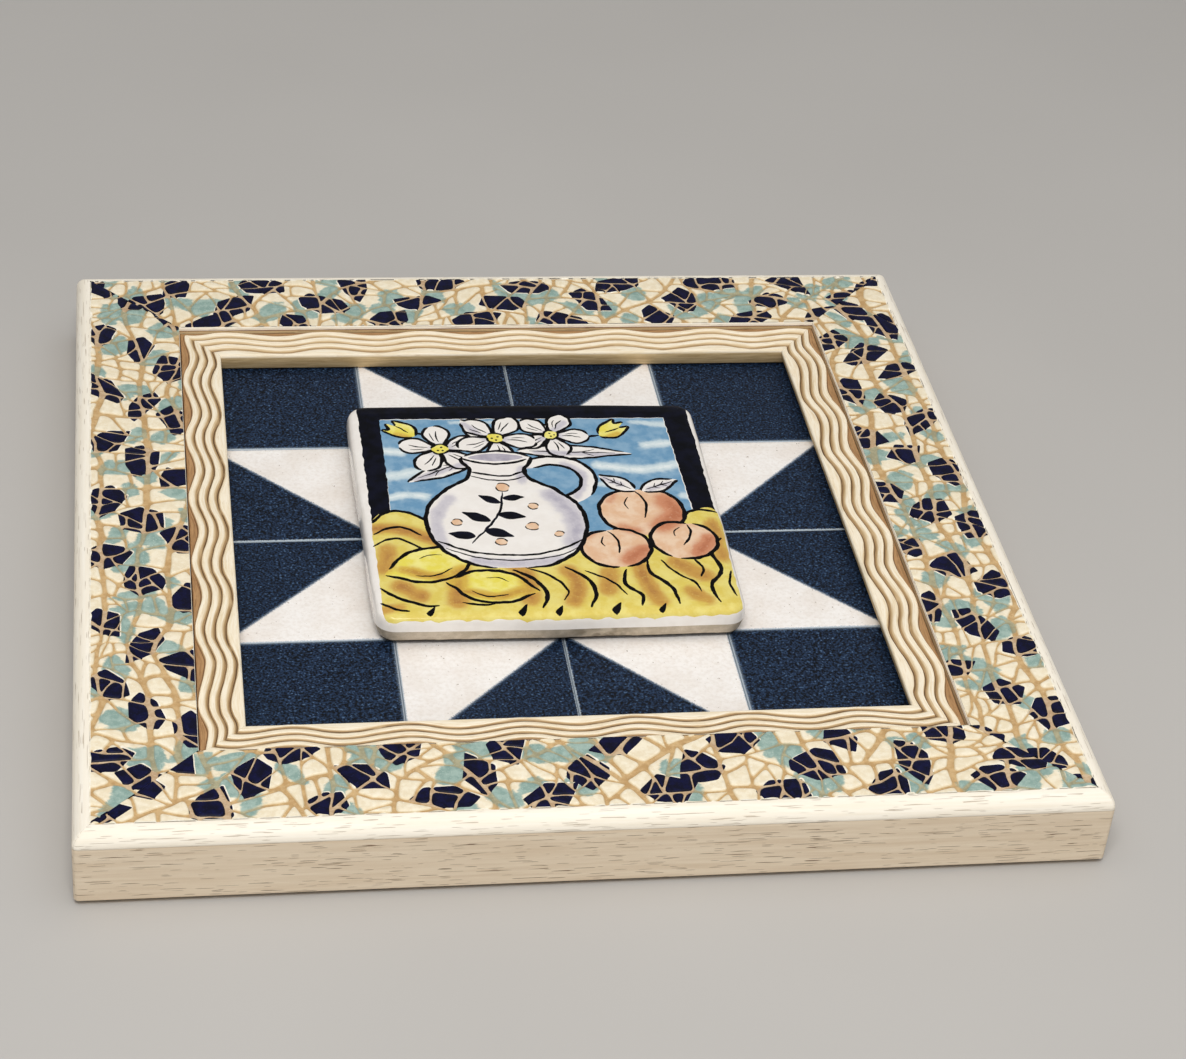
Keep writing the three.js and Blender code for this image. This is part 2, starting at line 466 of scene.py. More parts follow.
def counter_clockwise(loop):
    total = sum(p[0] * loop[(i + 1) % len(loop)][1] - loop[(i + 1) % len(loop)][0] * p[1]
                for i, p in enumerate(loop))
    return loop if total > 0 else loop[::-1]


def winding(points, seed):
    """Bends the straight joints into long lazy curves."""
    return wobble(wobble(points, 30.0, 8.0, seed), 7.0, 1.1, seed + 9)


def blob(chance, centre, radius, lean, stretch, corners):
    """An uneven polygon with softened corners, printed as one patch of colour."""
    points = []
    turn = chance.uniform(0, 6.28)
    for i in range(corners):
        angle = turn + (i + chance.uniform(-0.25, 0.25)) * 2 * math.pi / corners
        reach = radius * chance.uniform(0.72, 1.26)
        x, y = reach * stretch * math.cos(angle), reach / stretch * math.sin(angle)
        points.append((centre[0] + x * math.cos(lean) - y * math.sin(lean),
                       centre[1] + x * math.sin(lean) + y * math.cos(lean), 0))
    return wobble(rounded(points, 0.7), 2.5, 0.2)


def mosaic_patches(chance, reach):
    """Navy and aqua patches, staggered in three lanes across the moulding's face."""
    navy, aqua = [], []
    lanes = (FACE_INNER + 2.6, FACE_INNER + 14.2, FACE_INNER + 25.0)
    along = -reach
    order = 0
    while along < reach:
        lane = (0, 2, 1)[order % 3]
        out = lanes[lane] + chance.uniform(-1.4, 1.4)
        lean = chance.gauss(0, 0.8)
        navy.append(blob(chance, (along, out), chance.uniform(6.3, 7.7), lean,
                         chance.uniform(1.0, 1.4), chance.choice((5, 6, 7))))
        for _ in range(2):
            angle = chance.uniform(0, 6.28)
            gap = chance.uniform(7.0, 10.5)
            spot = (along + gap * math.cos(angle), out + gap * math.sin(angle))
            aqua.append(blob(chance, spot, chance.uniform(3.9, 6.1), chance.uniform(0, 3.1),
                             chance.uniform(1.0, 1.5), 6))
        along += chance.uniform(9.2, 11.6)
        order += 1
    return navy, aqua


def mosaic_pieces(chance, reach, lengthways):
    """Loops of the paving, before they are drawn in. Lengthways veins run along the rail."""
    low, high = FACE_INNER - 10, FACE_OUTER + 10
    slab = [(-reach, low, 0.0), (reach, low, 0.0), (reach, high, 0.0), (-reach, high, 0.0)]
    if not lengthways:
        return fracture(slab, chance, PIECE_AREA, 0, (0.78, 0.74, 0.68, 0.6, 0.52) + CRACKS)
    bands = [slab]
    for share in (0.27, 0.5, 0.73):
        height = low + (high - low) * share + chance.uniform(-1.5, 1.5)
        tilt = chance.uniform(-0.03, 0.03)
        normal = (math.sin(tilt), math.cos(tilt))
        top = bands.pop()
        bands.append(clip(top, (0, height), (-normal[0], -normal[1]), 0.8))
        bands.append(clip(top, (0, height), normal, 0.8))
    loops = []
    for band in bands:
        loops += fracture(band, chance, PIECE_AREA, 3, (0.78, 0.74, 0.62, 0.54, 0.48) + CRACKS)
    return loops


def mosaic_shells(chance, turn, reach, navy):
    """Outlines of the raised pieces, with the rings that shape their shoulders."""
    shells, rings = [], []
    for raw in mosaic_pieces(chance, reach, turn % 2 == 1):
        loop = counter_clockwise(raw)
        middle = winding(np.array([p[:2] for p in loop]).mean(0)[None], turn)
        share = NAVY_SHARE if (mark_inside(middle, navy) >= 0).any() else 1.0
        outer = drawn_in(loop, 0.02, share)
        if len(outer) < 3 or area_of(outer) < 2.0:
            continue
        shells.append(winding(rounded(outer, 1.5), turn))
        for inset in (SHOULDER * 0.4, SHOULDER):
            inner = drawn_in(loop, 0.02 + inset, share)
            if len(inner) > 2 and area_of(inner) > 1.0:
                rings.append(winding(rounded(inner, 1.2), turn))
    return shells, rings


def tint_cover(points, blobs):
    """How far each point lies in the aqua wash: 1 well inside a blob, fading over its edge."""
    cover = np.zeros(len(points))
    for loop in blobs:
        low, high = loop.min(0) - TINT_EDGE, loop.max(0) + TINT_EDGE
        near = np.nonzero(((points >= low) & (points <= high)).all(1))[0]
        gap = distance_to(points[near], loop)
        gap = np.where(inside(points[near], loop), gap, -gap)
        cover[near] = np.maximum(cover[near], np.clip(0.5 + gap / TINT_EDGE, 0, 1))
    return cover


def print_margin(chance):
    """Ragged unprinted strip where the print stops at the bead."""
    stations = np.arange(-FACE_OUTER - 2, FACE_OUTER + 2, 0.9)
    widths = [0.35 + 0.9 * max(0.0, noise.noise(Vector((s / 4.0, chance, 0.0)))) for s in stations]
    edge = [(s, FACE_OUTER - w) for s, w in zip(stations, widths)]
    return np.array(edge + [(stations[-1], FACE_OUTER + 1), (stations[0], FACE_OUTER + 1)])


def mosaic_sheet(side):
    """The face of one rail: points (along, out), heights, triangles, looks and values."""
    turn = SIDES.index(side)
    chance = random.Random(410 + turn)
    reach = FACE_OUTER + 8
    navy, aqua = mosaic_patches(chance, reach)
    shells, rings = mosaic_shells(chance, turn, reach, navy)
    bare = [loop + np.array(UNDERPRINT[turn % 2]) for loop in navy]
    margin = print_margin(turn)
    gap = MITRE_GAP
    outline = [(-FACE_INNER + gap, FACE_INNER), (FACE_INNER - gap, FACE_INNER),
               (FACE_OUTER - gap, FACE_OUTER), (-FACE_OUTER + gap, FACE_OUTER)]
    spots = [(x, y) for x in np.arange(-FACE_OUTER, FACE_OUTER, PRINT_GRID)
             for y in np.arange(FACE_INNER + 0.5, FACE_OUTER, PRINT_GRID)]
    points, corners = tessellate([outline, margin] + shells + rings + navy + bare, spots)
    points, corners = keep_inside(points, corners, outline)
    rise, brim = np.zeros(len(points)), np.ones(len(points))
    for shell in shells:
        near = in_box(points, shell)
        near = near[inside(points[near], shell)]
        if len(near):
            depth = np.clip(distance_to(points[near], shell) / SHOULDER, 0, 1)
            rise[near] = RELIEF * np.sin(depth * math.pi / 2)
            brim[near] = 1 - depth
    centres = points[corners].mean(1)
    on_piece, on_navy, on_bare, on_margin = (mark_inside(centres, loops) >= 0
                                             for loops in (shells, navy, bare, [margin]))
    looks = np.where(on_bare, UNDERLAY, PALE)
    looks = np.where(on_navy, NAVY, looks)
    looks = np.where(on_piece, looks, np.where(on_navy, NAVY_GROUT, GROUT))
    looks = np.where(on_margin, UNDERLAY, looks)
    slope = (FRAME_TOP - LIP_TOP) / (FACE_OUTER - FACE_INNER)
    waves = np.array([noise.noise(Vector((x / 5, y / 5, turn))) for x, y in points])
    height = LIP_TOP + (points[:, 1] - FACE_INNER) * slope + rise - RELIEF * 0.6 + 0.06 * waves
    return points, height, corners, looks, {"tint": tint_cover(points, aqua), "brim": brim}


# ---------------------------------------------------------------- outer rails

def moulding_section():
    """Bead, side, back, rebate and lip as (out, up, ease, look), from the mosaic and back."""
    section = []
    for i in range(13):
        angle = math.pi / 2 * (1 - i / 12)
        out = FACE_OUTER + BEAD_RADIUS * math.cos(angle)
        up = FRAME_TOP - BEAD_RADIUS + BEAD_RADIUS * math.sin(angle)
        section.append((out, up, CORNER_EASE * math.cos(angle), BEAD))
    side_top = FRAME_TOP - BEAD_RADIUS
    edge = CORNER_EASE
    section += [(FRAME_HALF - 0.10, side_top - 0.12, edge, SIDE),
                (FRAME_HALF - 0.02, side_top - 0.4, edge, SIDE),
                (FRAME_HALF, side_top - 1.2, edge, SIDE),
                (FRAME_HALF, 8.0, edge, SIDE),
                (FRAME_HALF, GAP_HEIGHT + 0.5, edge, SIDE),
                (FRAME_HALF, GAP_HEIGHT + 0.12, edge, SIDE),
                # The small recess along the bottom edge is near black: painted shadow, for the dark line
                # under the frame.
                (FRAME_HALF - 0.1, GAP_HEIGHT, edge, PAINTED_SHADOW_RECESS),
                (FRAME_HALF - GAP_DEPTH, GAP_HEIGHT - 0.05, edge, PAINTED_SHADOW_RECESS),
                (FRAME_HALF - GAP_DEPTH, 0.0, edge, RAW),
                (REBATE_HALF, 0.0, 0.02, RAW),
                (REBATE_HALF, LEDGE_TOP, 0.02, RAW),
                (LIP_HALF, LEDGE_TOP, 0.02, RAW),
                (LIP_HALF, LIP_TOP - 1.55, 0.02, LIP_SHADOW),
                (LIP_HALF, LIP_TOP - 1.25, 0.02, BEAD),
                (LIP_HALF, LIP_TOP - 0.45, 0.02, BEAD),
                (LIP_HALF + 0.05, LIP_TOP - 0.05, 0.02, BEAD),
                (FACE_INNER, LIP_TOP, 0.02, BEAD)]
    return section


def make_outer_rail(side, looks):
    turn = SIDES.index(side)
    section = moulding_section()
    turns = np.linspace(0, math.pi / 4, 5)
    angles = np.concatenate([-turns[::-1], turns])
    signs = np.array([-1] * 5 + [1] * 5)
    rows = []
    for angle, sign in zip(np.abs(angles), signs):
        for out, up, ease, _ in section:
            centre = out - ease
            along = sign * (centre + ease * math.sin(angle) - MITRE_GAP)
            rows.append((along, centre + ease * math.cos(angle), up))
    rows = np.array(rows)
    faces = grid_faces(len(signs), len(section), False)
    face_looks = [section[f[0] % len(section)][3] for f in faces]
    travel = np.cumsum([0] + [math.dist(section[i][:2], section[i + 1][:2])
                              for i in range(len(section) - 1)])
    rails = [(r[0], travel[i % len(section)], r[2]) for i, r in enumerate(rows)]
    flat, height, corners, sheet_looks, values = mosaic_sheet(side)
    start = len(rows)
    values = {key: np.concatenate([np.zeros(start), numbers]) for key, numbers in values.items()}
    points = np.concatenate([turned(rows[:, 0], rows[:, 1], rows[:, 2], turn),
                             turned(flat[:, 0], flat[:, 1], height, turn)])
    rails += [(a, o, 40 + 50 * turn) for a, o in flat]
    all_faces = faces + [tuple(start + c for c in corner[::-1]) for corner in corners]
    return make_piece(f"moulding_{side}", points, all_faces, looks,
                      list(face_looks) + list(sheet_looks), [f"frame_rail_{side}"],
                      values, rails)


# ---------------------------------------------------------------- liner rails

def liner_face(out):
    share = (out - LINER_INNER) / (LINER_OUTER - LINER_INNER)
    return LINER_TOP_INNER + share * (LINER_TOP_OUTER - LINER_TOP_INNER)


def ridge_valley(phase):
    """Depth of the carving from one groove (0) to the next (1): steep, flat, then easing down."""
    if phase < 0.18:
        return 1 - math.sin(phase / 0.18 * math.pi / 2)
    return max(0.0, (phase - 0.42) / 0.58) ** 1.6


def liner_section():
    """Places across the liner as (out, up, swings, groove, band, wall)."""
    section = [(LINER_FOOT, LINER_BOTTOM, 0, 0, 0, 1), (LINER_OUTER, LINER_BOTTOM, 0, 0, 1, 0),
               (LINER_OUTER, LINER_TOP_OUTER - RIDGE_DEPTH, 0, 1, 1, 0)]
    for k in range(1, 4):
        share = k / 4
        out = LINER_OUTER + (CARVED_OUTER - LINER_OUTER) * share
        section.append((out, liner_face(out) - RIDGE_DEPTH * (1 - 0.1 * share), share, 0.55, 1, 0))
    per_ridge = 14
    for k in range(RIDGES * per_ridge + 1):
        out = CARVED_OUTER - k * RIDGE_PITCH / per_ridge
        valley = ridge_valley((CARVED_OUTER - out) / RIDGE_PITCH % 1.0)
        section.append((out, liner_face(out) - RIDGE_DEPTH * valley, 1, valley,
                        1 if k == 0 else 0, 0))
    for share, drop in ((0.25, 0.6), (0.5, 0.2), (1.0, 0.02)):
        out = CARVED_INNER - 0.9 * share
        section.append((out, liner_face(out) - RIDGE_DEPTH * drop, 1, drop, 0, 0))
    nose = 0.55
    section.append((LINER_INNER + nose, LINER_TOP_INNER - 0.02, 0, 0, 0, 0))
    for angle in (30, 60, 90):
        bend = math.radians(angle)
        section.append((LINER_INNER + nose - nose * math.sin(bend),
                        LINER_TOP_INNER - nose * 1.6 * (1 - math.cos(bend)), 0, 0, 0,
                        angle / 300))
    for share in (0.12, 0.4, 0.7, 0.94):
        section.append((LINER_INNER + (LINER_FOOT - LINER_INNER) * share ** 1.5,
                        LINER_TOP_INNER - 0.9 - (LINER_TOP_INNER - 0.9 - LINER_BOTTOM) * share,
                        0, 0, 0, 0.35 + share * 0.65))
    return section


def make_liner_rail(side, look):
    turn = SIDES.index(side)
    section = liner_section()
    stations = np.linspace(-1, 1, 221)
    rows, groove, band, wall, rails = [], [], [], [], []
    for t in stations:
        for out, up, swing, valley_shade, on_band, on_wall in section:
            start = t * (out - MITRE_GAP)
            fade = min(1.0, (1 - abs(t)) * out / WAVE_FADE)
            wave = math.sin(2 * math.pi * (start / WAVE_LENGTH - WAVE_PHASE[side])) * fade ** 0.7
            stray = noise.noise(Vector((start / 4.5, out / 2.2, turn * 3.0)))
            moved = out + swing * (WAVE_SWING * wave + 0.17 * fade * stray)
            along = t * (moved - MITRE_GAP)
            ripple = 0.06 * fade * noise.noise(Vector((along / 6, out / 1.5, turn * 7.0)))
            rows.append((along, moved, up + ripple * swing))
            groove.append(valley_shade)
            band.append(on_band)
            wall.append(on_wall)
            rails.append((along, out, up + 60 * turn))
    rows = np.array(rows)
    faces = grid_faces(len(stations), len(section), True)
    points = turned(rows[:, 0], rows[:, 1], rows[:, 2], turn)
    return make_piece(f"liner_{side}", points, faces, [look], [0] * len(faces),
                      [f"liner_rail_{side}"],
                      {"groove": groove, "band": band, "wall": wall}, rails)


# ---------------------------------------------------------------- star tiles

def rounded_square(half, corner, steps):
    points = []
    for quarter in range(4):
        centre = np.array(((1, 1), (-1, 1), (-1, -1), (1, -1))[quarter]) * (half - corner)
        for i in range(steps + 1):
            angle = math.pi / 2 * (quarter + i / steps)
            points.append(centre + corner * np.array((math.cos(angle), math.sin(angle))))
    return np.array(points)


def make_star_tile(row, column, look):
    chance = random.Random(70 + 4 * row + column)
    half = (TILE_PITCH - TILE_GAP) / 2
    ease = 0.5
    profile = [(0.3, 0.0), (0.0, 0.3), (0.0, TILE_THICKNESS - ease)]
    profile += [(ease * (1 - math.cos(a)), TILE_THICKNESS - ease + ease * math.sin(a))
                for a in (0.5, 1.0, math.pi / 2)]
    profile += [(1.4, TILE_THICKNESS), (12.0, TILE_THICKNESS)]
    tip = (chance.uniform(-0.0035, 0.0035), chance.uniform(-0.0035, 0.0035))
    lift = chance.uniform(-0.14, 0.02)
    centre = np.array([(column - 1.5) * TILE_PITCH, (row - 1.5) * TILE_PITCH])
    count = None
    points = []
    for inset, up in profile:
        ring = rounded_square(half - inset, max(1.1 - inset, 0.4), 4)
        ring = wobble(ring + centre, 14.0, 0.07, 3.0 + row + 5 * column)
        count = len(ring)
        for x, y in ring:
            tilt = (x - centre[0]) * tip[0] + (y - centre[1]) * tip[1]
            points.append((x, y, FIELD_TOP - TILE_THICKNESS + up + (lift + tilt if up > 1 else 0)))
    faces = grid_faces(len(profile), count, True)
    faces.append(tuple(range(count))[::-1])
    top = (len(profile) - 1) * count
    faces.append(tuple(range(top, top + count)))
    node = f"star_tile_{row + 1}_{column + 1}"
    return make_piece(f"star_{row + 1}_{column + 1}", points, faces, [look],
                      [0] * len(faces), [node])


# ---------------------------------------------------------------- picture tile

def picture_outline(inset=0.0):
    """Rounded outline of the picture tile, a little uneven as pressed clay is."""
    radius = max(PICTURE_CORNER - inset, 0.8)
    pull = radius + inset
    centres = [np.array((x - math.copysign(pull, x), y - math.copysign(pull, y)))
               for x, y in PICTURE_CORNERS]
    points = []
    for number, centre in enumerate(centres):
        for i in range(9):
            angle = math.pi / 2 * (number - 1 + i / 8)
            points.append(centre + radius * np.array((math.cos(angle), math.sin(angle))))
        normal = np.array((math.cos(math.pi / 2 * number), math.sin(math.pi / 2 * number)))
        start, goal = points[-1], centres[(number + 1) % 4] + normal * radius
        for k in range(1, 24):
            bow = 0.35 * math.sin(math.pi * k / 24)
            points.append(start + (goal - start) * k / 24 + normal * bow)
    return wobble(np.array(points), 21.0, 0.45, 2.0)


class Painting:
    """Areas of colour and brush strokes, each laid over the ones before it."""

    def __init__(self):
        self.loops = []
        self.keys = []

    def area(self, key, points, straight=False):
        if straight:
            line = wobble(cut_up(points, 0.6), 1.6, 0.18)
        else:
            line = spline(points, closed=True, step=1.2)
        self.loops.append(by_hand(line))
        self.keys.append(key)

    def stroke(self, points, width=1.15, taper=0.16, key="black"):
        self.loops.append(ribbon(by_hand(spline(points, step=0.7)), width, taper))
        self.keys.append(key)

    def shape(self, key, points, width=1.2, lifts=(0.0, 0.47, 0.51, 0.985)):
        """A filled shape and the line round it; the brush is lifted between the lifts."""
        self.area(key, points)
        line = by_hand(spline(points, closed=True, step=0.7))
        for first, last in zip(lifts[::2], lifts[1::2]):
            picked = np.arange(int(first * len(line)), int(last * len(line))) % len(line)
            self.loops.append(ribbon(line[picked], width, 0.1))
            self.keys.append("black")


def cut_up(loop, step):
    """Adds points along straight sides."""
    points = []
    corners = np.array(loop, float)
    for start, end in zip(corners, np.roll(corners, -1, axis=0)):
        count = max(1, int(np.linalg.norm(end - start) / step))
        points += [start + (end - start) * k / count for k in range(count)]
    return np.array(points)


def placed(points, centre, lean=0.0, size=1.0):
    """The points turned, scaled and moved."""
    bend = np.array(((math.cos(lean), math.sin(lean)), (-math.sin(lean), math.cos(lean))))
    return [tuple(p) for p in np.array(points, float) @ bend * size + np.array(centre)]


def round_fruit(centre, radii, lean=0.0):
    """Round outline with a dent at the stalk."""
    points = []
    for i in range(16):
        angle = math.pi / 2 + 2 * math.pi * i / 16
        dent = 1 - 0.12 * math.exp(-((i if i < 8 else i - 16) / 1.1) ** 2)
        points.append((radii[0] * math.cos(angle) * dent, radii[1] * math.sin(angle) * dent))
    return placed(points, centre, lean)


def lemon(centre, radii, lean):
    """Oval with a point at each end."""
    points = []
    for i in range(16):
        angle = 2 * math.pi * i / 16
        tip = 1 + 0.24 * math.exp(-(math.sin(angle) / 0.22) ** 2)
        points.append((radii[0] * tip * math.cos(angle), radii[1] * math.sin(angle)))
    return placed(points, centre, lean)


def leaf(base, tip, width):
    """Pointed leaf between two ends."""
    a, run = np.array(base, float), np.array(tip, float) - np.array(base, float)
    side = np.array([-run[1], run[0]]) / np.linalg.norm(run) * width
    left = [a + run * t + side * w for t, w in ((0.25, 0.42), (0.55, 0.5), (0.82, 0.24))]
    right = [a + run * t - side * w for t, w in ((0.82, 0.2), (0.55, 0.46), (0.25, 0.4))]
    return [tuple(p) for p in (a, *left, a + run, *right)]


PETAL = ((0.12, 0.0), (0.32, 0.20), (0.62, 0.34), (0.86, 0.27), (1.0, 0.05), (0.93, -0.16),
         (0.66, -0.30), (0.34, -0.19))
BUD = ((0.0, -1.0), (0.62, -0.55), (0.72, 0.1), (0.38, 0.95), (0.1, 0.55), (-0.12, 1.08),
       (-0.42, 0.62), (-0.74, 0.85), (-0.78, 0.0), (-0.55, -0.62))
JUG = ((-12, -34), (-23, -32.5), (-32.5, -25), (-37, -13), (-35.5, -1), (-29, 8), (-22.5, 13.5),
       (-20.8, 18.5), (-22.8, 25), (-12, 26.5), (-0.6, 25), (-3, 18.5), (-1.8, 13), (5, 7.5),
       (11.5, -1.5), (13, -12.5), (9, -24.5), (0, -32.5))
MOUTH = ((-22.6, 25.2), (-17, 22.4), (-11, 21.8), (-5, 22.6), (-0.6, 25.2), (-5, 28.0),
         (-12, 28.8), (-18.5, 27.9))
HANDLE = ((-3, 22.5), (6, 25.5), (15, 22.5), (19.3, 13.5), (16.5, 3.5), (9, -1.5),
          (6, 2.0), (12, 6), (14.6, 12.5), (11.8, 18.3), (5.5, 20.8), (-3, 18.6))
CLOTH_EDGE = ((-53.9, -9), (-49, -3.6), (-42, -4.4), (-33, -12), (-22, -22), (-6, -25),
              (12, -24), (28, -19), (40, -12), (48, -5.5), (55.6, -6))
HEM_INSET = 0.5


def cloth_hem():
    """Front side of the outline drawn in, from right to left, where the cloth runs off."""
    front = [p for p in picture_outline(HEM_INSET) if p[1] < -52]
    front = sorted(front, key=lambda p: -math.atan2(p[1], p[0]))
    pulled = [(np.clip(x, -54.0, 55.0), y) for x, y in front[::2]]
    return ((55.4, -30), *pulled, (-53.9, -30))


def paint_grounds(art):
    """Border, sky, cloth and the shadow lines of its long folds."""
    art.area("navy", [(-54.2, 60), (55.4, 60), (55.2, -9), (48.0, -9), (46.8, 47.4),
                      (-46.9, 48.2), (-47.8, -9), (-53.9, -12)], straight=True)
    art.area("sky", [(-47.2, 47.9), (46.6, 47.2), (47.8, -16), (-47.6, -16)], straight=True)
    art.area("cloth", CLOTH_EDGE + cloth_hem())
    art.stroke(CLOTH_EDGE[:5], 1.3, 0.06)
    art.stroke(CLOTH_EDGE[7:], 1.3, 0.1)
    for points, width in FOLDS:
        art.stroke(points, width, 0.25)


FOLDS = ((((-54, -15), (-46, -11.5), (-39, -16.5)), 1.1),
         (((-54.5, -21), (-47.5, -17.5), (-41, -22), (-38, -25)), 1.0),
         (((-54, -42), (-50, -47), (-42, -51.5), (-37, -52)), 1.3),
         (((-54.5, -49.5), (-50, -53), (-46, -54)), 1.0),
         (((-13, -35), (-7, -40), (-4, -47), (-6, -54)), 1.4),
         (((-9, -34), (-1.5, -38.5), (2.5, -46), (1, -50.5)), 0.9),
         (((3, -34), (9, -39.5), (11, -47), (8.5, -54)), 1.35),
         (((9, -36), (16, -41), (20.5, -48.5)), 0.85),
         (((22, -36), (20.5, -43), (25, -49), (24, -54)), 1.3),
         (((29, -31), (29.5, -38), (34.5, -45), (36, -53.5)), 1.35),
         (((33.5, -31.5), (37, -38), (42, -43), (43.5, -48)), 0.9),
         (((54.5, -20), (50, -28), (51.5, -37), (47, -45), (48.5, -53)), 1.4),
         (((44, -31.5), (46, -36), (44.5, -40.5)), 0.9),
         (((54.6, -37), (53.0, -44), (54, -50)), 0.9),
         (((-30, -50.5), (-25, -52), (-20, -51.5)), 0.9))


def paint_flower(art, centre, size, lean):
    """Open white flower: petals, their middle lines, and a yellow heart."""
    for k in (0, 2, 4, 1, 3):
        turn = lean + k * 2 * math.pi / 5
        art.shape("white", placed(PETAL, centre, turn, size), 1.05)
        art.stroke(placed(((0.30, 0.0), (0.55, 0.03), (0.78, 0.0)), centre, turn, size), 0.55, 0.4)
        art.stroke(placed(((0.36, 0.09), (0.55, 0.15), (0.7, 0.17)), centre, turn, size), 0.4, 0.4)
    heart = [(math.cos(a) * (0.2 + 0.03 * (i % 2)), math.sin(a) * 0.2)
             for i, a in enumerate(np.linspace(0, 2 * math.pi, 9)[:-1])]
    art.shape("lemon", placed(heart, centre, lean, size), 0.85)
    for spot in ((0.05, 0.06), (-0.07, -0.02), (0.04, -0.08)):
        dot = placed([(0.035 * math.cos(a), 0.035 * math.sin(a)) for a in (0, 1.6, 3.1, 4.7)],
                     placed([spot], centre, lean, size)[0], 0, size)
        art.area("black", dot)


def paint_leaf(art, base, tip, width):
    art.shape("white", leaf(base, tip, width), 1.05)
    a, b = np.array(base, float), np.array(tip, float)
    art.stroke([a + (b - a) * t for t in (0.1, 0.5, 0.86)], 0.6, 0.4)
    side = np.array([-(b - a)[1], (b - a)[0]]) / np.linalg.norm(b - a) * width
    for t in (0.35, 0.55):
        art.stroke([a + (b - a) * t, a + (b - a) * (t + 0.12) + side * 0.24], 0.4, 0.4)
        art.stroke([a + (b - a) * t, a + (b - a) * (t + 0.12) - side * 0.22], 0.4, 0.4)


def paint_bouquet(art):
    """Leaves, buds and three open flowers standing in the jug."""
    for points in (((-13, 24), (-24, 26), (-35, 21)), ((-10, 24), (8, 33), (24, 37.5)),
                   ((-14, 24), (-27, 36), (-38, 40.5))):
        art.stroke(points, 1.2, 0.1)
    paint_leaf(art, (-17, 26), (-41, 12.5), 8.0)
    paint_leaf(art, (-4, 29), (33, 26.5), 7.5)
    paint_leaf(art, (-12, 34), (-21, 47.5), 7.0)
    paint_leaf(art, (2, 33), (14, 47.5), 7.5)
    for centre, lean in (((28.5, 40.5), -0.9), ((-40.5, 42.0), 0.85)):
        art.shape("lemon", placed(BUD, centre, lean, 5.6), 1.1)
        art.stroke(placed(((0.1, 0.5), (0.05, 0.0), (-0.05, -0.5)), centre, lean, 5.6), 0.6, 0.3)
    paint_flower(art, (-29, 30.5), 13.5, 0.35)
    paint_flower(art, (8, 38), 12.5, 1.1)
    paint_flower(art, (-10.5, 36.5), 13.5, -0.25)


def paint_jug(art):
    """White jug with two bands and a painted sprig."""
    art.shape("white", HANDLE, 1.25, (0.0, 0.43, 0.5, 0.93))
    art.shape("white", JUG, 1.45, (0.03, 0.47, 0.53, 0.985))
    art.shape("white", MOUTH, 1.1)
    art.area("shade", [(-20.5, 25.2), (-14, 23.4), (-6, 23.7), (-2.6, 25.3), (-8, 27.2),
                       (-16, 27.3)])
    art.stroke(((-20.4, 17.6), (-14, 15.2), (-8, 15.1), (-3.4, 17.4)), 0.95)
    art.stroke(((-21, 15.2), (-14.5, 12.8), (-8, 12.7), (-2.4, 14.8)), 0.6, 0.2)
    art.stroke(((-34.4, -19.5), (-24, -25.6), (-10, -27.6), (2, -25.4), (10.6, -20.2)), 0.95, 0.1)
    art.stroke(((-32.5, -23), (-23, -28.4), (-10, -30.2), (1.5, -28.4), (8.8, -24)), 0.6, 0.2)
    art.stroke(((-24, -21), (-18, -12.5), (-13.5, -4), (-11.6, 6)), 0.85, 0.3, "navy")
    for base, tip, width in (((-22.5, -17.5), (-31, -15.5), 4.6), ((-19.5, -14), (-10.5, -18), 4.6),
                             ((-17, -9.5), (-25.5, -4.5), 4.4), ((-14.8, -6), (-5.4, -7.5), 4.4),
                             ((-12.8, 0), (-19.5, 4.5), 3.6), ((-12, 2.5), (-4.8, 3), 3.6)):
        art.area("navy", leaf(base, tip, width))
    for spot, size in (((-11.2, 8.6), 2.3), ((-27.5, -9.8), 1.8), ((-4.2, -12.6), 2.1),
                       ((-2.6, -1.8), 1.7), ((-14.8, -20.6), 1.8), ((3.6, -17), 1.5)):
        art.shape("peach", [(spot[0] + size * math.cos(a), spot[1] + size * math.sin(a))
                            for a in np.linspace(0, 2 * math.pi, 8)[:-1]], 0.5)


def paint_fruit(art):
    """Peaches with leaves on the right, lemons on the left."""
    peaches = (((31.5, -5.5), (13.6, 13.0), 0.1), ((20.5, -24.5), (11.0, 10.2), 0.2),
               ((42.5, -21), (10.6, 10.0), -0.25))
    for centre, radii, lean in peaches:
        art.shape("peach", round_fruit(centre, radii, lean), 1.35)
        seam = ((0.02, 0.84), (0.16, 0.5), (0.14, 0.1), (0.0, -0.3))
        art.stroke(placed(seam, centre, lean, radii[1]), 0.85, 0.3)
        seam = ((-0.2, 0.62), (-0.34, 0.36), (-0.3, 0.12))
        art.stroke(placed(seam, centre, lean, radii[1]), 0.5, 0.3)
    paint_leaf(art, (31, 5.5), (20.5, 14.5), 7.0)
    paint_leaf(art, (33, 5.5), (45.5, 11.5), 6.5)
    for centre, radii, lean in (((-37.5, -31.5), (12.2, 8.4), 0.3), ((-20, -43), (11.4, 8.0), -0.2)):
        art.shape("lemon", lemon(centre, radii, lean), 1.3)
        curve = ((-0.55, -0.28), (-0.1, -0.46), (0.45, -0.3))
        art.stroke(placed(curve, centre, lean, radii[0]), 0.7, 0.4)
        curve = ((-0.2, 0.34), (0.1, 0.4), (0.4, 0.28))
        art.stroke(placed(curve, centre, lean, radii[0]), 0.45, 0.4)
    for x, y, size in ((-40, -54.6, 1.8), (-12.5, -54.8, 2.1), (-1.5, -55.2, 1.8), (16, -54.7, 2.1),
                       (30, -55.0, 1.7)):
        art.area("black", placed(((0, -1), (0.7, -0.2), (0.9, 1.3), (0.2, 0.6), (-0.6, -0.3)),
                                 (x, y), 0.0, size))


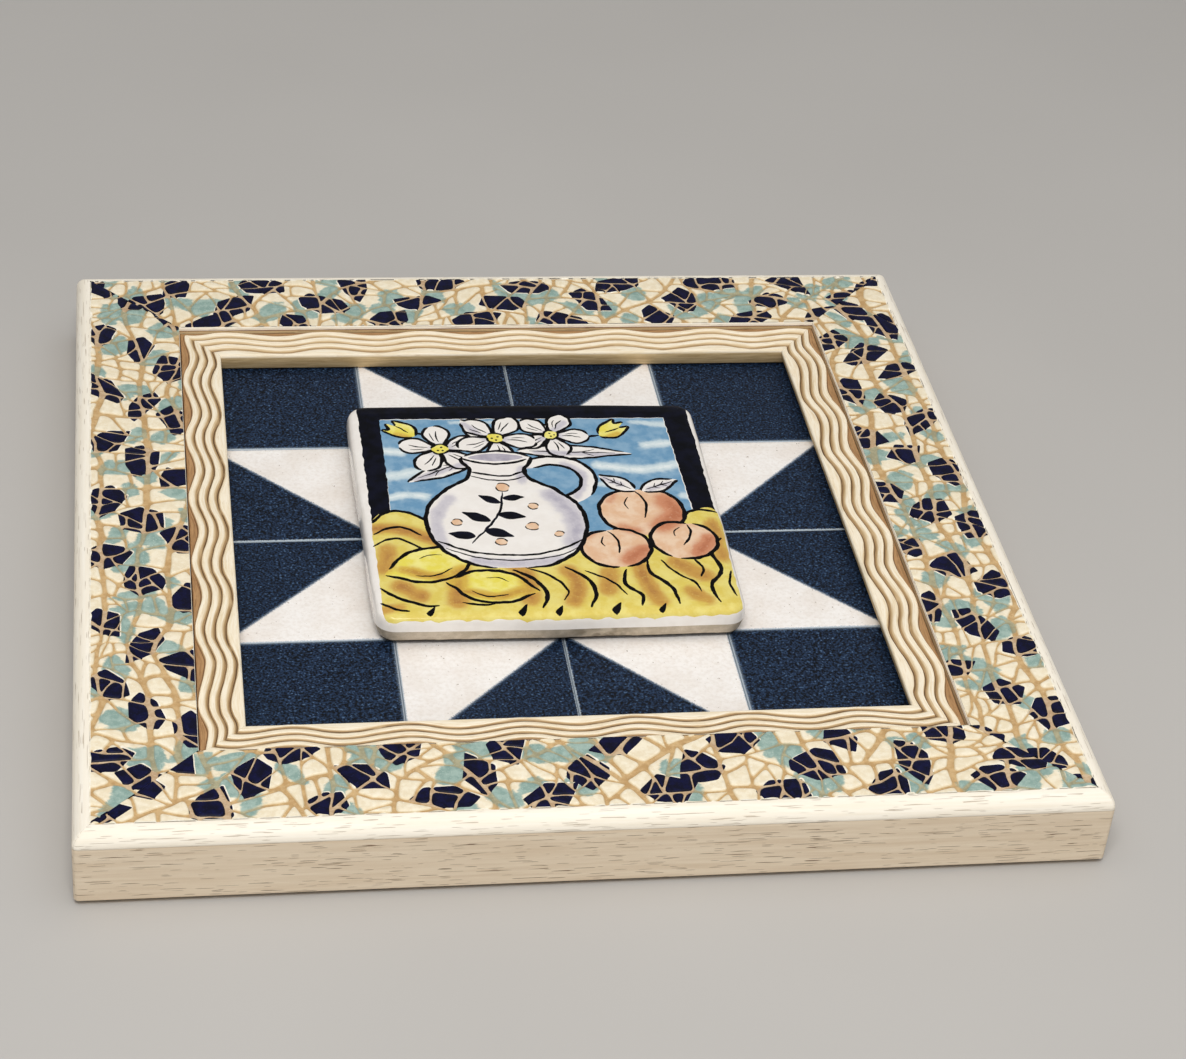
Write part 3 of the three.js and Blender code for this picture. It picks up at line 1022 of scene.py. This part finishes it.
# Soft washes as (line, spread, strength).
STREAKS = ((((-47, 30), (-42, 29)), 2.2, 1.0), (((-47, 15.5), (-43, 16.5), (-37, 18)), 2.6, 1.0),
           (((-47, 4), (-42, 5.5), (-36, 4.5)), 1.9, 0.95), (((21, 20), (34, 17.5), (47, 20)), 2.3, 1.0),
           (((36, 45), (47, 43)), 1.6, 0.8), (((46, 2.5), (48, 2)), 1.9, 0.9),
           (((38, 31.5), (47, 32.5)), 2.0, 0.95), (((20, 9.5), (23, 9)), 1.4, 0.8),
           (((-24, 46), (-2, 45.5)), 1.4, 0.7))
OCHRE = ((((-54, -12), (-44, -13.5), (-33, -21)), 3.0, 1.0), (((-50, -24), (-52, -33)), 3.6, 0.9),
         (((-48, -42), (-42, -47)), 3.2, 1.0), (((-30, -37), (-31, -50)), 3.6, 1.0),
         (((-12, -33), (-9, -38), (-9, -50)), 3.4, 1.0), (((4, -36), (6, -43), (4, -51)), 3.2, 1.0),
         (((17, -37), (15, -46)), 3.4, 0.9), (((26, -33), (28, -46), (30, -52)), 3.0, 1.0),
         (((38, -33), (46, -40)), 3.6, 0.95), (((53, -12), (53, -30)), 3.0, 0.9),
         (((40, -47), (44, -52)), 2.8, 0.9), (((-46, -34), (-36, -37.5), (-28, -34)), 2.4, 1.0),
         (((-29, -45), (-19, -48), (-11, -45)), 2.2, 1.0), (((30, 38), (27, 36)), 1.8, 0.8),
         (((-42, 39.5), (-39, 38)), 1.8, 0.8), (((-54, -53), (-48, -52)), 2.4, 0.7))
GREY = ((((-33, -22), (-34, -8), (-29, 3)), 2.6, 0.8), (((8, -22), (9.5, -8), (4, 4)), 3.8, 1.0),
        (((-4.5, 12), (-3.5, 19)), 2.2, 0.9), (((-24, -30), (-11, -32), (2, -30)), 2.4, 0.9),
        (((10, 21), (15.5, 14), (12, 3)), 1.8, 0.9), (((-30, 30), (-27, 31)), 3.4, 0.9),
        (((7, 38), (9, 37.5)), 3.2, 0.9), (((-11, 36.5), (-9, 36)), 3.4, 0.9),
        (((-22, 22), (-38, 14)), 1.5, 0.9), (((2, 28), (30, 25.5)), 1.5, 0.9),
        (((-14, 36), (-20, 45)), 1.5, 0.8), (((4, 35), (13, 45)), 1.5, 0.8),
        (((27, 9), (22, 13)), 1.5, 0.8), (((36, 6.5), (43, 9.5)), 1.4, 0.8))
BLUSH = ((((37, -13), (42, -7), (40, 0)), 4.4, 1.0), (((24, -14), (28, -16)), 2.6, 0.7),
         (((46, -28), (51, -21)), 3.2, 1.0), (((24, -31), (29, -26)), 3.4, 1.0),
         (((22, 0), (24, 3)), 2.0, 0.5), (((12, -19), (14, -17)), 2.0, 0.5),
         (((35, -15), (37, -14)), 2.0, 0.5))


def soft(points, washes):
    """How strongly the soft strokes cover each point."""
    cover = np.zeros(len(points))
    for line, spread, strength in washes:
        gap = distance_to(points, spline(line, step=1.5), closed=False)
        cover = np.maximum(cover, strength * np.exp(-(gap / spread) ** 2))
    return cover


def make_picture(looks):
    """The picture tile: painted top, rolled edge, and the narrower foot."""
    art = Painting()
    for paint in (paint_grounds, paint_bouquet, paint_fruit, paint_jug):
        paint(art)
    outline = picture_outline()
    rings = [picture_outline(inset) for inset in (0.12, 0.3, 0.6, 1.0, 1.6, 2.3, 3.0, 4.4, 6.2)]
    lattice = np.arange(-57, 60, 1.3)
    spots = [(x, y + 0.65 * (i % 2)) for i, x in enumerate(lattice) for y in lattice]
    points, corners = tessellate([outline] + rings + art.loops, spots)
    points, corners = keep_inside(points, corners, outline)
    up = np.interp(distance_to(points, outline), *zip(*PICTURE_TOP))
    owner = mark_inside(points[corners].mean(1), art.loops)
    index = {key: i for i, key in enumerate(looks)}
    face_looks = [index[art.keys[o]] if o >= 0 else index["white"] for o in owner]
    low_points, low_faces = picture_foot(outline, len(points))
    values = {key: np.concatenate([soft(points, washes), np.zeros(len(low_points))])
              for key, washes in (("streak", STREAKS), ("ochre", OCHRE), ("grey", GREY),
                                  ("blush", BLUSH))}
    flat = np.concatenate([np.column_stack([points, up]), low_points])
    xy = placed(flat[:, :2], PICTURE_CENTRE, PICTURE_TURN)
    all_points = np.column_stack([xy, flat[:, 2] + FIELD_TOP + PICTURE_LIFT])
    faces = [tuple(c) for c in corners] + low_faces
    face_looks += [index["clay"]] * len(low_faces)
    return make_piece("painted_tile", all_points, faces, list(looks.values()), face_looks,
                      ["picture_tile"], values)


def picture_foot(outline, start):
    """Rings from the widest outline down and in to the underside."""
    run = np.roll(outline, -1, axis=0) - np.roll(outline, 1, axis=0)
    run /= np.linalg.norm(run, axis=1)[:, None]
    inward = np.stack([-run[:, 1], run[:, 0]], 1)
    points = []
    for inset, up in PICTURE_FOOT:
        ring = outline + inward * inset
        points += [(x, y, up) for x, y in ring]
    count = len(outline)
    faces = [tuple(start + i for i in face[::-1])
             for face in grid_faces(len(PICTURE_FOOT), count, True)]
    last = start + (len(PICTURE_FOOT) - 1) * count
    faces.append(tuple(range(last, last + count))[::-1])
    return np.array(points), faces


# ---------------------------------------------------------------- looks

def look_limed(name, base, shade, pore, amount, roughness=0.55):
    """Pale limed wood with short dark pores that run along the rail."""
    look = Look(name, roughness, specular=0.3)
    dash = look.noise(look.along_rail((0.145, 2.8, 2.8)), 1.0, 0.0)
    patches = look.noise(look.along_rail((0.10, 0.35, 0.35)), 1.0, 1.0)
    limit = look.math("MULTIPLY_ADD", patches, -0.24, 0.845)
    pores = look.step(look.math("SUBTRACT", dash, limit), 0.0, 0.016)
    broad = look.noise(look.along_rail((0.05, 0.9, 0.9)), 2.0, 4.0, 0.6)
    fine = look.noise(look.along_rail((0.12, 4.0, 4.0)), 1.2, 3.0, 0.7)
    tone = look.mix(look.step(broad, 0.3, 0.75), base, shade)
    tone = look.mix(look.math("MULTIPLY", look.step(fine, 0.4, 0.8), 0.35), tone, shade)
    colour = look.mix(look.math("MULTIPLY", pores, amount), tone, pore)
    look.bump(look.math("SUBTRACT", 1.0, pores), 0.06)
    look.bump(fine, 0.06)
    return look.finish(colour)


def look_print(name, plain, tinted=None, rim=None, roughness=0.5, specular=0.3):
    """Ink over the embossed print: (base, dark, light) bare, and under the aqua wash."""
    look = Look(name, roughness, specular=specular)
    cloud = look.noise(look.place(), 2.2, 3.0, 0.6)
    fine = look.noise(look.place(), 0.4, 1.0)
    inks = []
    for base, dark, light in (plain, tinted) if tinted else (plain,):
        ink = look.mix(look.step(cloud, 0.36, 0.66), dark, base)
        inks.append(look.mix(look.step(fine, 0.62, 0.8), ink, light))
    # Pieces darken towards their raised edges: on the navy this is the print's black edge, on the pale
    # pieces partly tan ink bleed and partly painted shade.
    if rim:
        edge = look.math("MULTIPLY", look.step(look.value("brim"), 0.1, 1.1), 0.75)
        inks = [look.mix(edge, ink, shade) for ink, shade in zip(inks, rim)]
    colour = inks[0]
    if tinted:
        streak = look.noise(look.place((0.45, 1.3, 1)), 1.6, 4.0, 0.65)
        cover = look.math("ADD", look.value("tint"), look.math("MULTIPLY_ADD", streak, 1.1, -0.55))
        colour = look.mix(look.step(cover, 0.3, 0.75), inks[0], inks[1])
    look.bump(look.noise(look.place(), 0.9, 2.0), 0.04)
    return look.finish(colour)


def look_liner():
    look = Look("washed_wave_wood", 0.6, specular=0.25)
    groove, band, wall = look.value("groove"), look.value("band"), look.value("wall")
    streak = look.noise(look.along_rail((0.10, 2.2, 1.0)), 1.0, 3.0, 0.65)
    scratch = look.noise(look.along_rail((0.22, 5.0, 1.0)), 1.0, 2.0, 0.6)
    long = look.noise(look.along_rail((0.12, 0.25, 1.0)), 1.0, 2.0)
    colour = look.mix(look.step(streak, 0.35, 0.75), "FBF0DA", "EDD9B5")
    # The grooves go tan and then dark brown towards their bottoms: painted shade in the valleys.
    valley_shade = look.math("ADD", groove, look.math("MULTIPLY_ADD", streak, 0.5, -0.25))
    colour = look.mix(look.step(valley_shade, 0.08, 0.36), colour, "D6BC92")
    colour = look.mix(look.math("MULTIPLY", look.step(valley_shade, 0.32, 0.62),
                                look.step(long, 0.12, 0.5)), colour, "AB8C63")
    colour = look.mix(look.math("MULTIPLY", look.step(valley_shade, 0.74, 0.94),
                                look.step(long, 0.15, 0.5)), colour, "58412B")
    colour = look.mix(look.math("MULTIPLY", look.step(scratch, 0.60, 0.72), 0.35), colour, "B9966A")
    stain = look.mix(look.step(streak, 0.3, 0.7), "A07A52", "BE9669")
    stain = look.mix(look.math("MULTIPLY", look.step(scratch, 0.5, 0.7), 0.6), stain, "7C5636")
    # Near-black brown where the band is deepest, in the corner under the lip and in the first groove:
    # painted shade over the stain.
    stain = look.mix(look.step(groove, 0.8, 1.0), stain, "583624")
    colour = look.mix(look.step(band, 0.2, 0.8), colour, stain)
    side = look.mix(look.step(streak, 0.3, 0.7), "C6A97A", "E4CA9B")
    colour = look.mix(look.step(wall, 0.22, 0.38), colour, side)
    look.bump(scratch, 0.06)
    return look.finish(colour)


def look_star():
    """Navy and white quilt star, worked out from the distance to its lines."""
    look = Look("star_glaze", 0.5, specular=0.16)
    x, y, _ = look.split(look.place())
    far = [look.math("DIVIDE", look.math("ABSOLUTE", v), STAR_UNIT) for v in (x, y)]
    arms = []
    for a, b in (far, far[::-1]):
        slope = look.math("SUBTRACT", look.math("ADD", 1.0, a), b)
        arms.append(look.math("MINIMUM", slope, look.math("SUBTRACT", 1.0, a)))
    signed = look.math("MULTIPLY", look.math("MAXIMUM", *arms), STAR_UNIT * 0.72)
    grain = look.noise(look.place(), 0.5, 2.0, 0.6)
    edge = look.math("ADD", signed, look.math("MULTIPLY_ADD", grain, 1.4, -0.7))
    speck = look.noise(look.place(), 0.72, 1.5, 0.6)
    coarse = look.noise(look.place(), 1.3, 2.0, 0.6)
    cloud = look.noise(look.place(), 14.0, 3.0)
    navy = look.mix(look.step(speck, 0.36, 0.64), "020408", "263A57")
    navy = look.mix(look.math("MULTIPLY", look.step(coarse, 0.45, 0.75), 0.6), navy, "0E1625")
    navy = look.mix(look.math("MULTIPLY", look.step(speck, 0.64, 0.72), 0.75), navy, "5C7A9A")
    white = look.mix(look.step(cloud, 0.35, 0.7), "F8F4F0", "F0E9E2")
    white = look.mix(look.math("MULTIPLY", look.step(coarse, 0.35, 0.75), 0.35), white, "D9CEC2")
    dots = look.noise(look.place(), 0.9, 1.0)
    white = look.mix(look.step(dots, 0.74, 0.80), white, "A89A8C")
    colour = look.mix(look.step(edge, -0.45, 0.25), navy, white)
    halo = look.math("MULTIPLY", look.step(edge, -1.1, -0.2), look.step(edge, 0.45, 0.0))
    colour = look.mix(look.math("MULTIPLY", halo, 0.45), colour, "8498AD")
    gaps = [look.math("PINGPONG", look.math("ABSOLUTE", v), TILE_PITCH / 2) for v in (x, y)]
    rim = look.math("ADD", look.math("MINIMUM", *gaps),
                    look.math("MULTIPLY_ADD", grain, 0.9, -0.45))
    colour = look.mix(look.step(rim, 0.62, 0.18), colour, "B4BFC8")
    look.bump(speck, 0.05)
    look.bump(cloud, 0.4)
    return look.finish(colour)


def look_paint(name, base, wash_key, wash, deep, pale, roughness=0.22, coat=0.25, specular=0.2):
    """Watery glaze paint: a base that a soft wash shades, with pooled and thin places."""
    look = Look(name, roughness, coat, specular)
    pool = look.noise(look.place(), 5.0, 4.0, 0.6)
    fine = look.noise(look.place(), 0.8, 2.0, 0.6)
    colour = look.mix(look.step(pool, 0.36, 0.66), base, pale)
    if wash_key:
        cover = look.math("ADD", look.value(wash_key),
                          look.math("MULTIPLY_ADD", pool, 0.9, -0.45))
        colour = look.mix(look.step(cover, 0.12, 0.72), colour, wash)
        colour = look.mix(look.step(cover, 0.70, 1.15), colour, deep)
    colour = look.mix(look.math("MULTIPLY", look.step(fine, 0.55, 0.8), 0.3), colour, pale)
    look.bump(look.noise(look.place(), 7.0, 2.0), 0.2)
    return look.finish(colour)


def look_clay():
    """Bare lower edge of the picture tile, with a dark stain near the front middle and near-black
    painted shadow where it meets the field.
    """
    look = Look("bare_clay", 0.7, specular=0.2)
    _, _, up = look.split(look.place())
    rise = look.math("SUBTRACT", up, FIELD_TOP + PICTURE_LIFT)
    cloud = look.noise(look.place(), 3.0, 3.0)
    fine = look.noise(look.place(), 0.5, 2.0)
    colour = look.mix(look.step(cloud, 0.3, 0.7), "C2B49E", "D8CBB8")
    colour = look.mix(look.math("MULTIPLY", look.step(fine, 0.5, 0.8), 0.4), colour, "A99A84")
    across, _, _ = look.split(look.place())
    near = look.step(look.math("ABSOLUTE", look.math("SUBTRACT", across, 11.0)), 13.0, 2.0)
    stain = look.math("MULTIPLY", near, look.step(look.noise(look.place(), 4.0, 2.0), 0.4, 0.6))
    colour = look.mix(look.math("MULTIPLY", stain, 0.7), colour, "6B5D49")
    # Near black over the lowest millimetre or so, with a ragged top: painted contact shadow under the
    # tile.
    painted_shadow_reach = look.math("MULTIPLY_ADD", look.noise(look.place(), 5.0, 3.0), 1.2, 0.5)
    colour = look.mix(look.step(look.math("SUBTRACT", rise, painted_shadow_reach), 0.35, -0.25), colour, "1B1510")
    look.bump(cloud, 0.1)
    return look.finish(colour)


def look_board():
    look = Look("plain_hardboard", 0.75, specular=0.2)
    fibre = look.noise(look.place(), 0.8, 4.0, 0.7)
    cloud = look.noise(look.place(), 18.0, 3.0)
    colour = look.mix(look.step(fibre, 0.3, 0.7), "7D5B38", "A07C52")
    colour = look.mix(look.math("MULTIPLY", look.step(cloud, 0.4, 0.7), 0.4), colour, "6B4B2D")
    look.bump(fibre, 0.08)
    return look.finish(colour)


def look_floor():
    look = Look("studio_floor", 0.75, specular=0.2)
    cloud = look.noise(look.place(), 160.0, 2.0)
    return look.finish(look.mix(cloud, "B9B6B2", "C1BEBA"))


# ---------------------------------------------------------------- the whole

def make_mouldings():
    face = look_limed("limed_bead", "FFF8EA", "F7EDDA", "9A7F5C", 0.5)
    # The side is the bead's limed wood in darker tones: painted shade on the side.
    side = look_limed("limed_side_painted_shade", "E8D8C0", "DAC6AB", "765D43", 0.85)
    raw = look_limed("raw_back", "D8BE93", "C6A878", "8C6B42", 0.6, 0.7)
    looks = [face,
             look_print("print_grout", ("D2B180", "BF9A68", "DEC398"),
                        ("B2AC8C", "9D977A", "C4BFA2"), roughness=0.6),
             # The pale pieces' rim colours are partly tan ink bleed and partly painted shade at the
             # raised edges.
             look_print("print_pale", ("F8EDD4", "EEDFC0", "FCF6E8"),
                        ("A4BBB1", "8AA59C", "C8D6CC"), ("D0B888", "9CA593")),
             look_print("print_navy", ("0E1036", "0A0A20", "1E2456"), rim=("07070F",),
                        roughness=0.4, specular=0.12),
             look_print("grout_over_navy", ("D3BA98", "BE9F7C", "E0CBB0"), roughness=0.6),
             look_print("white_underprint", ("FBF5E6", "EFE4CC", "FFFCF4")),
             side, raw,
             look_limed("lip_shadow", "8A5A3C", "6E4630", "4A2E1E", 0.5),
             # Near-black look for the bottom recess: painted shadow.
             look_limed("painted_shadow_underside", "1F1A16", "171310", "0D0B09", 0.4, 0.8)]
    for side_name in SIDES:
        make_outer_rail(side_name, looks)


def make_liners():
    look = look_liner()
    for side in SIDES:
        make_liner_rail(side, look)


def make_field():
    look = look_star()
    for row in range(4):
        for column in range(4):
            make_star_tile(row, column, look)


def make_painted_tile():
    make_picture({
        "white": look_paint("paint_white", "F1EBE4", "grey", "CFCAD0", "B3AEBB", "F6F1EB", 0.14, 0.6),
        "shade": look_paint("paint_shade", "A7A1AE", None, "", "", "BEB8C2"),
        "navy": look_paint("paint_navy", "08090F", None, "", "", "0F1120", 0.4, 0.0, 0.06),
        "sky": look_paint("paint_sky", "6A98BA", "streak", "CBDBE0", "EBF1F0", "86ABC6"),
        "cloth": look_paint("paint_yellow", "DFC95F", "ochre", "C99B4A", "B07A3E", "E9DA7E"),
        "lemon": look_paint("paint_lemon", "EADB58", "ochre", "D6B24A", "C0903E", "F3EA8E"),
        "peach": look_paint("paint_peach", "E4B994", "blush", "CF8C68", "B9714E", "EED0B2"),
        "black": look_paint("paint_black", "070606", None, "", "", "0E0C0F", 0.4, 0.0, 0.06),
        "clay": look_clay(),
    })


def make_floor():
    bpy.ops.mesh.primitive_plane_add(size=8, location=(0, 0, -FLOOR_DROP * MM))
    floor = bpy.context.object
    floor.name = "floor"
    floor.data.materials.append(look_floor())


def make_area_light(name, place, target, size, power, colour):
    data = bpy.data.lights.new(name, "AREA")
    data.shape = "RECTANGLE"
    data.size, data.size_y = size
    data.energy = power
    data.color = colour
    lamp = bpy.data.objects.new(name, data)
    lamp.location = place
    lamp.rotation_euler = (Vector(target) - Vector(place)).to_track_quat("-Z", "Y").to_euler()
    bpy.context.collection.objects.link(lamp)


def make_lights():
    make_area_light("dome", (0.1, -0.2, 1.3), (0.0, 0.0, 0), (2.0, 1.6), 8.2, (1.0, 0.992, 0.98))
    make_area_light("key", (-0.2, -0.75, 1.2), (0, 0, 0), (0.5, 0.4), 8.0, (1.0, 0.99, 0.975))
    make_area_light("fill", (0.2, -1.6, 0.75), (0, 0, 0), (1.2, 0.8), 3.5, (1.0, 0.99, 0.98))
    world = bpy.data.worlds.new("studio")
    world.use_nodes = True
    world.node_tree.nodes["Background"].inputs["Color"].default_value = (1, 0.995, 0.985, 1)
    world.node_tree.nodes["Background"].inputs["Strength"].default_value = 0.32
    bpy.context.scene.world = world


def make_camera():
    data = bpy.data.cameras.new("camera")
    data.lens = CAMERA_LENS
    data.sensor_fit = "HORIZONTAL"
    data.sensor_width = SENSOR
    data.clip_end = 20
    camera = bpy.data.objects.new("camera", data)
    right, up = Vector(CAMERA_RIGHT).normalized(), Vector(CAMERA_UP).normalized()
    turn = Matrix((right, up, right.cross(up))).transposed()
    camera.matrix_world = Matrix.Translation(Vector(CAMERA_PLACE) * MM) @ turn.to_4x4()
    bpy.context.collection.objects.link(camera)
    bpy.context.scene.camera = camera


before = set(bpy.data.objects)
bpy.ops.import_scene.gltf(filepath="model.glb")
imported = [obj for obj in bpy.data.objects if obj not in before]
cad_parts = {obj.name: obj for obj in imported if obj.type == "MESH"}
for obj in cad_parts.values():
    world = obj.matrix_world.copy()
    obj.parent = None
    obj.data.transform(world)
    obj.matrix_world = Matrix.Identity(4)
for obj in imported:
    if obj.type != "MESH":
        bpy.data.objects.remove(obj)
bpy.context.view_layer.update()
make_camera()
make_lights()
make_floor()
make_mouldings()
make_liners()
make_field()
make_painted_tile()
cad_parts["backing_board"].material_slots[0].material = look_board()
bpy.context.scene.view_settings.view_transform = "Standard"
